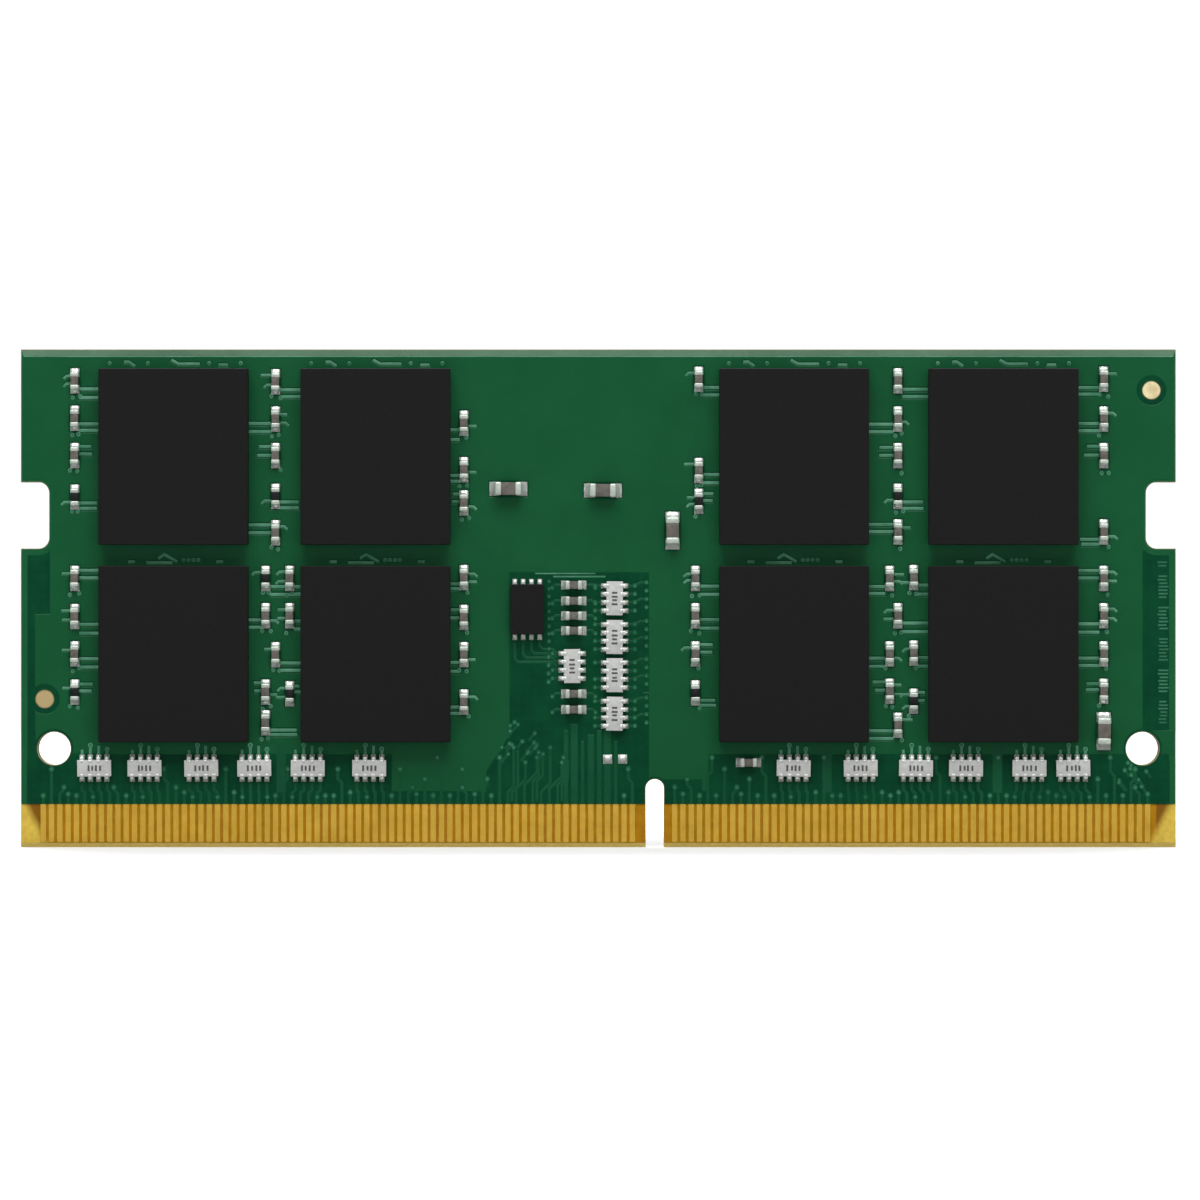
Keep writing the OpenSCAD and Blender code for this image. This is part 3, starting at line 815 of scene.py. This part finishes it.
def array_pieces(side_name, parts, joints):
    """Resistor arrays: a glazed body, eight wrap-round leads, a generic mark and the solder."""
    bodies, leads = Batch(), Batch()
    _, low, high = islands(f"resistor_array_leads_{side_name}")[0]
    lead_l = min(high.x - low.x, high.y - low.y)
    stand_off, bar_step, tuck, lead_w = 0.03, 0.24, 0.06, 0.25
    wrap = rounded_block(0.22, 0.15, 0.02, 0.008, 1)
    for part in parts:
        body = rounded_block(part.length, part.width, part.height - stand_off, 0.04)
        bodies.put(body, part, w=stand_off)
        lead = rounded_block(lead_w, lead_l + 2 * tuck, part.height - 0.045, 0.06, 3)
        for i, tall in enumerate((0.36, 0.28, 0.36, 0.32)):
            bar = rounded_block(0.12, tall, 0.008, 0.003, 1)
            along = (i - 1.5) * bar_step + 0.03 * rng.uniform(-1, 1)
            bodies.put(bar, part, along, w=part.height - 0.001, kind=1)
        for s in (-1, 1):
            for along in LEADS:
                leads.put(lead, part, along, s * (part.width / 2 + lead_l / 2 - tuck))
                leads.put(wrap, part, along, s * (part.width / 2 - 0.08), part.height - 0.008)
                blob = dome(lead_w, 0.27, 0.2 * rng.uniform(0.85, 1.15))
                joints.put(blob, part, along, s * (part.width / 2 + lead_l))
    body_piece = bodies.finish(f"array_bodies_{side_name}", [M["array_ceramic"], M["array_mark"]])
    lead_piece = leads.finish(f"array_leads_{side_name}", [M["tinned_terminal"]], 50)
    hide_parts(f"resistor_array_bodies_{side_name}")
    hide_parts(f"resistor_array_leads_{side_name}")


def ball_piece(side_name):
    """The reflowed balls under the packages."""
    batch = Batch()
    balls = islands(f"solder_balls_{side_name}")
    _, low, high = balls[0]
    r = (high.x - low.x) / 2
    shape = barrel(r * 0.86, r * 1.06, high.z - low.z)
    for side, low, high in balls:
        batch.add(shape, side, (low.x + high.x) / 2, (low.y + high.y) / 2, low.z)
    piece = batch.finish(f"ball_grid_{side_name}", [M["bright_solder"]], 60)
    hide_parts(f"solder_balls_{side_name}")


def contact_piece(node):
    """Plated fingers in place of plain strips, which run in under the mask's edge."""
    batch = Batch()
    under_mask = 0.12
    for side, low, high in islands(node):
        shape = finger(high.x - low.x, high.y - low.y + under_mask, high.z - low.z)
        batch.add(shape, side, (low.x + high.x) / 2, low.y, low.z)
    piece = batch.finish(node + "_fingers", [M["contact_gold"]], 30)
    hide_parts(node)


# ---- artwork of one side

def array_feeds(art, row, fingers):
    """Lines from the row of arrays to the contacts, which it returns, and stubs with vias above."""
    fed = set()
    jog = MASK_EDGE_Z + 0.75
    below, above, gap = 0.35, 0.3, 0.08
    for part in row:
        low, high = part.v - part.width / 2 - below, part.v + part.width / 2 + above
        for i, along in enumerate(LEADS):
            u = part.u + along
            near = min(fingers, key=lambda f: abs(f - u))
            fed.add(near)
            lean = abs(near - u) / 2
            art.trace([(u, low), (u, jog + lean), (near, jog - lean), (near, MASK_EDGE_Z)], FEED_W)
            rise = 0.22 + 0.12 * ((i * 3) % 4)
            # Stubs cut free of the copper get a painted ridge highlight.
            art.trace([(u, high), (u, high + rise)], FINE_W, gap)
            if i % 2:
                art.via(u, high + rise, VIA_R, gap)
    return fed


def strips_between(art, row):
    """Strips of copper that come down between some of the arrays in the row."""
    places = sorted((p.u, p.v) for p in row)
    above, foot, width = 1.1, MASK_EDGE_Z + 0.95, 0.5
    for (u, v), (next_u, _) in list(zip(places, places[1:]))[3::3]:
        between = (u + next_u) / 2
        art.trace([(between, v + above), (between, foot)], width)


def finger_feeds(art, fingers, fed, row):
    """The other contacts' lines: short ones to tented vias, longer ones between the arrays."""
    rises, short, tall = (0.5, 2.1, 1.0, 0.6, 1.5, 0.5, 2.8), (0.5, 0.7), 0.9
    beside, aside = 0.35, 0.25
    for k, f in enumerate(fingers):
        if f in fed:
            if k % 3 == 0:
                art.via(f, MASK_EDGE_Z + 0.42, 0.13)
            continue
        clear = all(abs(f - p.u) > p.length / 2 + beside for p in row)
        rise = rises[k % len(rises)] if clear else short[k % 2]
        jog = aside * ((k % 3) - 1) if rise > tall else 0
        top, knee = MASK_EDGE_Z + rise, MASK_EDGE_Z + rise * 0.6
        bend = knee + abs(jog) + 0.02
        art.trace([(f, MASK_EDGE_Z), (f, knee), (f + jog, bend), (f + jog, top)], FEED_W)
        art.via(f + jog, top, 0.15)


def columns_of(parts):
    """The upright parts by column, each column from the top down."""
    columns, apart = {}, 0.3
    for part in parts:
        if part.upright:
            columns.setdefault(round(part.u / apart), []).append(part)
    return [sorted(column, key=lambda p: -p.v) for column in columns.values()]


def column_lines(art, parts, packages):
    """Pairs of lines from the upright parts to the packages beside them, hooks and vias.

    Each way is a direction, the two lines' lifts and the share of the distance that they run.
    """
    ways = ((1, (-0.45, -0.95), 1.0), (-1, (-0.3, -0.75), 1.0), (-1, (0.5, 0.05), 0.55),
            (1, (-0.4, -0.7), 0.8), (-1, (0.45, 0.0), 1.0))
    hook_share, via_share = 0.6, 0.7
    overlap, nearest, farthest = 0.4, 0.5, 2.2
    for column in columns_of(parts):
        for k, part in enumerate(column):
            toward, lifts, share = ways[k % len(ways)]
            edges = [edge - part.u for low, high in packages for edge in (low.x, high.x)
                     if low.y - overlap < part.v < high.y + overlap]
            edges = [edge for edge in edges if nearest < abs(edge) < farthest]
            hook_way = 1 if k % 2 else -1
            if edges:
                reach = min([e for e in edges if e * toward > 0] or edges, key=abs)
                way = 1 if reach > 0 else -1
                start, end = part.u + way * 0.35, part.u + way * (0.4 + (abs(reach) - 0.3) * share)
                for lift in lifts:
                    v = part.v + lift + rng.uniform(-0.06, 0.06)
                    stop = end - way * rng.uniform(0.0, 0.2)
                    art.trace([(start, v), (stop, v)], FEED_W, TRACE_GAP)
                hook_way = -way
            for lift in (0.32, -0.2):
                if rng.random() < hook_share:
                    v = part.v + lift + rng.uniform(-0.1, 0.1)
                    hook(art, part.u + hook_way * 0.33, v, hook_way)
            for step in (-0.2, 0.22):
                if rng.random() < via_share:
                    below = part.v - part.length / 2 - rng.uniform(0.34, 0.56)
                    art.via(part.u + step + rng.uniform(-0.1, 0.1), below, SMALL_VIA_R, gap=0.09)


def hook(art, u, v, way):
    """A short line, straight or with its end bent down."""
    run, drop = rng.uniform(0.15, 0.35), rng.choice((-0.12, 0.0))
    art.trace([(u, v), (u + way * run, v), (u + way * (run + 0.13), v + drop)], 0.08, 0.1)


def package_marks(art, packages):
    """Short lines that show just above each package, and other ones in the gap between the rows; cut
    free of the copper, they get a painted ridge highlight.
    """
    upper_marks = (((-2.95, 0.42), (-2.75, 0.42), (-2.45, 0.22)),
                   ((-0.1, 0.5), (0.25, 0.3), (1.45, 0.3)),
                   ((2.75, 0.24), (3.15, 0.24)))
    gap_marks = (((-2.7, 0.26), (-2.45, 0.26)),
                 ((-0.9, 0.5), (-0.6, 0.7), (0.1, 0.3)),
                 ((2.6, 0.26), (2.85, 0.26)),
                 ((-1.6, 0.2), (-0.2, 0.2)))
    upper_vias, gap_vias = (-3.9, -1.6, 2.1, 4.0), (0.55, 0.85, 1.15, 1.45)
    for low, high in packages:
        centre = (low.x + high.x) / 2
        upper = high.y > BOARD_H * 0.75
        for path in upper_marks if upper else gap_marks:
            art.trace([(centre + u, high.y + lift) for u, lift in path], width=0.1, gap=0.1)
        for step in upper_vias if upper else gap_vias:
            art.via(centre + step, high.y + 0.36, SMALL_VIA_R, gap=0.07)


def via_cluster(art, u, v, spread, count, lean):
    """Vias thrown about a place, each with a short slanted line."""
    for _ in range(count):
        a, b = u + rng.uniform(-1, 1) * spread[0], v + rng.uniform(-1, 1) * spread[1]
        art.via(a, b, rng.uniform(0.1, 0.14))
        tail = rng.uniform(0.25, 0.6)
        art.trace([(a, b), (a + lean * tail, b - tail)], FINE_W)


def middle_block(art, parts, tall):
    """Dense lines and vias round the configuration chip and the upright arrays."""
    right, top = max(p.u for p in tall), max(p.v for p in tall)
    beside, run, lift = 0.32, 0.4, 0.2
    for part in tall:
        inner, outer = part.u - part.width / 2 - beside, part.u + part.width / 2 + beside
        for i, along in enumerate(LEADS):
            v = part.v + along
            if part.u == right:
                art.trace([(outer, v), (outer + run, v)], 0.1)
                art.via(outer + run, v, WIDE_VIA_R)
                if i % 2:
                    away = [(outer + run, v), (outer + 0.75, v + lift), (outer + 1.05, v + lift)]
                    art.trace(away, FINE_W)
                art.via(outer + 1.1, v + lift, VIA_R)
            else:
                art.trace([(inner, v), (inner - 0.3, v), (inner - 0.55, v - 0.22)], FINE_W)
                art.via(inner - 0.6, v - 0.22, WIDE_VIA_R)
            if i != 2:
                art.trace([(inner, v), (inner - 0.34, v)], FINE_W)
                art.via(inner - 0.36, v, VIA_R)
    for part in parts:
        if part.upright or abs(part.u - right) > 3:
            continue
        for s in (-1, 1):
            end = part.u + s * 0.88
            bent = [(end, part.v), (end + s * 0.22, part.v), (end + s * 0.4, part.v - 0.16)]
            art.trace(bent, FINE_W)
            art.via(end + s * 0.42, part.v - 0.18, VIA_R)
    # These two lines are drawn with a painted highlight.
    for start, end, above in ((-4.75, -1.2, 1.5), (-3.65, -0.6, 1.3)):
        art.trace([(right + start, top + above), (right + end, top + above)], 0.07, look="bright")
    for k in range(12):
        art.via(right - 3.95, top + 1.0 - 0.45 * k, SMALL_VIA_R)


def chip_lines(art, chip):
    """Lines that leave the configuration chip's lower leads and curve off to the side."""
    _, low, high = chip
    v, end, bend, drop, step = low.y - 0.55, high.x + 0.5, 0.2, 0.35, 0.26
    for i, along in enumerate(LEADS):
        u = (low.x + high.x) / 2 + along
        foot = v - drop - step * (3 - i)
        path = [(u, v), (u, foot + bend), (u + bend, foot), (end, foot), (end + bend, foot - bend)]
        art.trace(path, FINE_W)


def bus_lines(art, fingers, middle_u, top):
    """Lines from the contacts left of the key: broad straight ones, and thin ones that lean."""
    broad, short = (0.34, 0.12, 0.3, 0.2), 1.2
    for k, f in enumerate(fingers):
        high = top - 0.3 * (k * 3 % 4)
        if f > middle_u:
            art.trace([(f, MASK_EDGE_Z), (f, high)], broad[k % len(broad)])
            continue
        knee = MASK_EDGE_Z + 0.7 + 0.22 * (k % 4)
        lean = 0.35 + 0.2 * (k % 3)
        for shift in (0.0, LEAD_PITCH / 2)[:1 + (k % 3 == 0)]:
            u = f + shift
            up = [(u + lean, knee + lean), (u + lean, high - short - shift)]
            art.trace([(u, MASK_EDGE_Z + shift), (u, knee)] + up, FINE_W)
        art.via(f + lean, high - short, WIDE_VIA_R)


def clear_copper(art, left, right):
    """Where the copper area stops short of the contacts and of the middle block."""
    end, foot = BOARD_W / 2 - 1, MASK_EDGE_Z - 0.5
    above_contacts = rectangle(-end, foot, end, foot + 1.3)
    outer, inner, low, high = left - 1.2, left + 1, foot + 2.5, foot + 4.5
    slant = [(outer, foot), (inner, foot), (inner, high), (left + 0.1, high), (outer, low)]
    beside_key = rectangle(right, foot, right + 5, foot + 2)
    for loop in (above_contacts, slant, beside_key):
        art.add(loop, "pour_gap_top")
        art.add(offset(loop, SLOPE), "pour_gap")


def edge_ticks(art, u, low, high):
    """A generic column of short ticks, in groups, in place of etched wording."""
    step, reach, group, drawn = 0.21, 0.3, 9, 7
    for k in range(int((high - low) / step)):
        if k % group < drawn:
            v = low + k * step
            start, end = rng.uniform(0.4, 1) * reach, rng.uniform(0.4, 1) * reach
            art.trace([(u - start, v), (u + end, v)], MARK_W, look="soft")


def board_outlines(art, side_name):
    """The mask with its openings and the copper area, as they are in the frame."""
    side = SIDES[side_name]
    strip, grown, clear = BOARD_W / 2 - EDGE_STRIP, 0.01, 0.008
    art.add(rectangle(-strip, 0, strip, 2 * MASK_EDGE_Z), "inland")
    for loop in face_loops(f"solder_mask_{side_name}", side):
        if signed_area(loop) > 0:
            art.add(loop, "mask")
            art.add(offset(loop, EDGE_STRIP), "inland")
        elif len(loop) > 8:
            art.add(loop, "opening")
    for loop in face_loops(f"copper_pour_{side_name}", side):
        tag = "pour" if signed_area(loop) > 0 else "pour_gap"
        art.add(offset(loop, -grown - SLOPE), tag)
        art.add(offset(loop, -grown), tag + "_top")
    openings = islands(f"copper_lands_{side_name}")
    if side < 0:
        openings += islands("spare_lands")
    for _, low, high in openings:
        u0, v0, u1, v1 = low.x - clear, low.y - clear, high.x + clear, high.y + clear
        art.add(round_rectangle(u0, v0, u1, v1, 0.05), "opening")


def curved_line(art, u, v, r):
    """A thin line that bends round in an arc and then runs on to the left."""
    arc = [(u + r * math.cos(a / 5), v + r * math.sin(a / 5)) for a in range(8)]
    art.trace(arc + [(arc[-1][0] - 0.6, arc[-1][1])], MARK_W)


def artwork_for(side_name, packages, chips, arrays, fingers):
    art = Artwork()
    board_outlines(art, side_name)
    if side_name == "front":
        chip_lines(art, islands("spd_chip_body")[0])
    row = [p for p in arrays if not p.upright]
    tall = [p for p in arrays if p.upright]
    fed = array_feeds(art, row, fingers)
    strips_between(art, row)
    left, right = min(p.u for p in tall) - BLOCK_LEFT, max(p.u for p in tall) + BLOCK_RIGHT
    clear_copper(art, left, right)
    bus = [f for f in fingers if left < f < right]
    finger_feeds(art, [f for f in fingers if f not in bus], fed, row)
    column_lines(art, chips, packages)
    package_marks(art, packages)
    middle_block(art, chips, tall)
    bus_lines(art, bus, left + THIN_SHARE, FOOT_TOP)
    via_cluster(art, left + 1.0, FOOT_TOP - 0.6, spread=(1.3, 1.0), count=16, lean=-0.8)
    via_cluster(art, BOARD_W / 2 - 2.6, MASK_EDGE_Z + 1.7, spread=(1.2, 0.8), count=10, lean=0.7)
    curved_line(art, right + 1.9, FOOT_TOP + 1, 1.1)
    edge_ticks(art, BOARD_W / 2 - 0.76, BOARD_H * 0.25, BOARD_H * 0.58)
    return art


# ---- build both sides

def build_side(side_name):
    side = SIDES[side_name]
    packages = []
    for i in range(1, 9):
        low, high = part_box(f"dram_package_{side_name}_{i}")
        packages.append((Vector((low.x, low.z)) / MM, Vector((high.x, high.z)) / MM))
    caps = chip_parts(f"capacitor_bodies_{side_name}", f"capacitor_terminals_{side_name}")
    resistors = chip_parts(f"resistor_bodies_{side_name}", f"resistor_terminals_{side_name}")
    arrays = array_parts(f"resistor_array_bodies_{side_name}")
    fingers = []
    for end in ("left", "right"):
        fingers += [middle(box).x for box in islands(f"edge_contacts_{side_name}_{end}")]
        contact_piece(f"edge_contacts_{side_name}_{end}")
    joints = Batch()
    lands = islands(f"copper_lands_{side_name}")
    for kind, parts, slot in (("capacitor", caps, "capacitor_ceramic"),
                              ("resistor", resistors, "resistor_coating")):
        nodes = (f"{kind}_bodies_{side_name}", f"{kind}_terminals_{side_name}")
        two_terminal_pieces(f"{kind}_{side_name}", parts, SMALL_BAND, 0.055, nodes, slot)
        for part in parts:
            add_fillets(joints, part, land_reach(part, lands), 0.66)
    for part in BULK:
        if part.side == side:
            add_fillets(joints, part, land_reach(part, lands), 0.55)
    array_pieces(side_name, arrays, joints)
    if side < 0:
        chip_leads(joints)
    joint_piece = joints.finish(f"solder_fillets_{side_name}", [M["bright_solder"]], 70)
    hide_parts(f"solder_joints_{side_name}")
    ball_piece(side_name)
    art = artwork_for(side_name, packages, caps + resistors, arrays, fingers)
    mask = mask_object(f"mask_relief_{side_name}", side, art, MASK_MATERIALS)
    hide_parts(f"solder_mask_{side_name}")


def chip_leads(joints):
    """The configuration chip's leads, each with its drop of solder."""
    leads = Batch()
    chip = islands("spd_chip_body")[0]
    for lead in islands("spd_chip_leads"):
        size, m = lead[2] - lead[1], middle(lead)
        leads.add(rounded_block(size.x, size.y, size.z, 0.04), lead[0], m.x, m.y)
        outward = 1 if m.y > middle(chip).y else -1
        joints.add(dome(0.29, 0.3, 0.17), lead[0], m.x, m.y + outward * 0.07)
    piece = leads.finish("chip_leads", [M["tinned_terminal"]], 50)
    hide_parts("spd_chip_leads")


def spare_land_piece():
    batch = Batch()
    for side, low, high in islands("spare_lands"):
        size, m = high - low, (low + high) / 2
        batch.add(rounded_block(size.x, size.y, COPPER_T + 0.012, 0.02), side, m.x, m.y, -COPPER_T)
        batch.add(dome(size.x, size.y * 0.95, 0.11), side, m.x, m.y, 0.005)
    piece = batch.finish("spare_land_solder", [M["bright_solder"]], 60)
    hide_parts("spare_lands")


BULK = chip_parts("bulk_capacitor_bodies", "bulk_capacitor_terminals")
two_terminal_pieces("bulk_capacitor", BULK, BULK_BAND, 0.09,
                    ("bulk_capacitor_bodies", "bulk_capacitor_terminals"), "capacitor_ceramic")
spare_land_piece()
for name in SIDES:
    build_side(name)
    for i in range(1, 9):
        dress(f"dram_package_{name}_{i}", "moulding_compound", 0.05)
    dress(f"prepreg_{name}", "laminate")
    dress(f"copper_pour_{name}", "inner_copper")
    dress(f"copper_lands_{name}", "land_metal")
    dress(f"package_substrates_{name}", "package_laminate", 0.02)
    dress(f"silicon_dies_{name}", "silicon")
dress("laminate_core", "laminate")
dress("ground_plane", "inner_copper")
dress("power_plane", "inner_copper")
dress("fiducials", "fiducial_gold", 0.02)
dress("spd_chip_body", "moulding_compound", 0.04)


# ---- studio

def studio_floor():
    mesh = bpy.data.meshes.new("studio_floor")
    radius, steps = 0.36, 64
    points = [Vector((x, y, 0)) for x, y in disc(0, 0, radius, steps)]
    mesh.from_pydata(points, [], [tuple(range(steps))])
    mesh.materials.append(studio_material())
    floor = add_to_scene("studio_floor", mesh)
    floor.visible_glossy = False


def softbox(name, location, size, radiance, target=(0, 0, 0.015)):
    light = bpy.data.lights.new(name, "AREA")
    light.shape = "RECTANGLE"
    light.size, light.size_y = size
    light.energy = radiance * math.pi * size[0] * size[1]
    holder = add_to_scene(name, light)
    holder.location = location
    holder.rotation_euler = (Vector(target) - Vector(location)).to_track_quat("-Z", "Y").to_euler()
    holder.visible_camera = False


def studio_world():
    """White up to a little above the horizon, and a dim ceiling."""
    world = bpy.data.worlds.new("studio_world")
    bpy.context.scene.world = world
    sky = Shading(world, "Background", "Generated")
    sky.set("Color", sky.ramp(sky.axis("Z"), (0.12, (1, 1, 1)), (0.3, (0.3, 0.3, 0.3))))
    sky.set("Strength", 1.05)
    world.cycles_visibility.glossy = False


def studio():
    studio_floor()
    studio_world()
    softbox("top_softbox", (0, 0, 0.75), (0.9, 0.5), 2.0)
    softbox("front_key", (0, -0.5, 0.75), (0.8, 0.5), 8.0)
    softbox("back_key", (0, 0.5, 0.75), (0.8, 0.5), 8.0)
    softbox("front_panel", (0, -1.1, 0.35), (1.4, 0.9), 0.4)
    softbox("back_panel", (0, 1.1, 0.35), (1.4, 0.9), 0.4)


def camera():
    """Straight on to the front, with the board across the view as in a catalogue picture."""
    data = bpy.data.cameras.new("camera")
    data.lens = 200
    data.sensor_width = 36
    margin, shift = 1.039, 0.0001
    view_width = BOARD_W * margin * MM
    distance = view_width * data.lens / data.sensor_width
    eye = add_to_scene("camera", data)
    eye.location = (shift, -HALF_T * MM - distance, BOARD_H / 2 * MM - shift)
    eye.rotation_euler = (math.pi / 2, 0, 0)
    bpy.context.scene.camera = eye
    bpy.context.scene.view_settings.view_transform = "Standard"


studio()
camera()
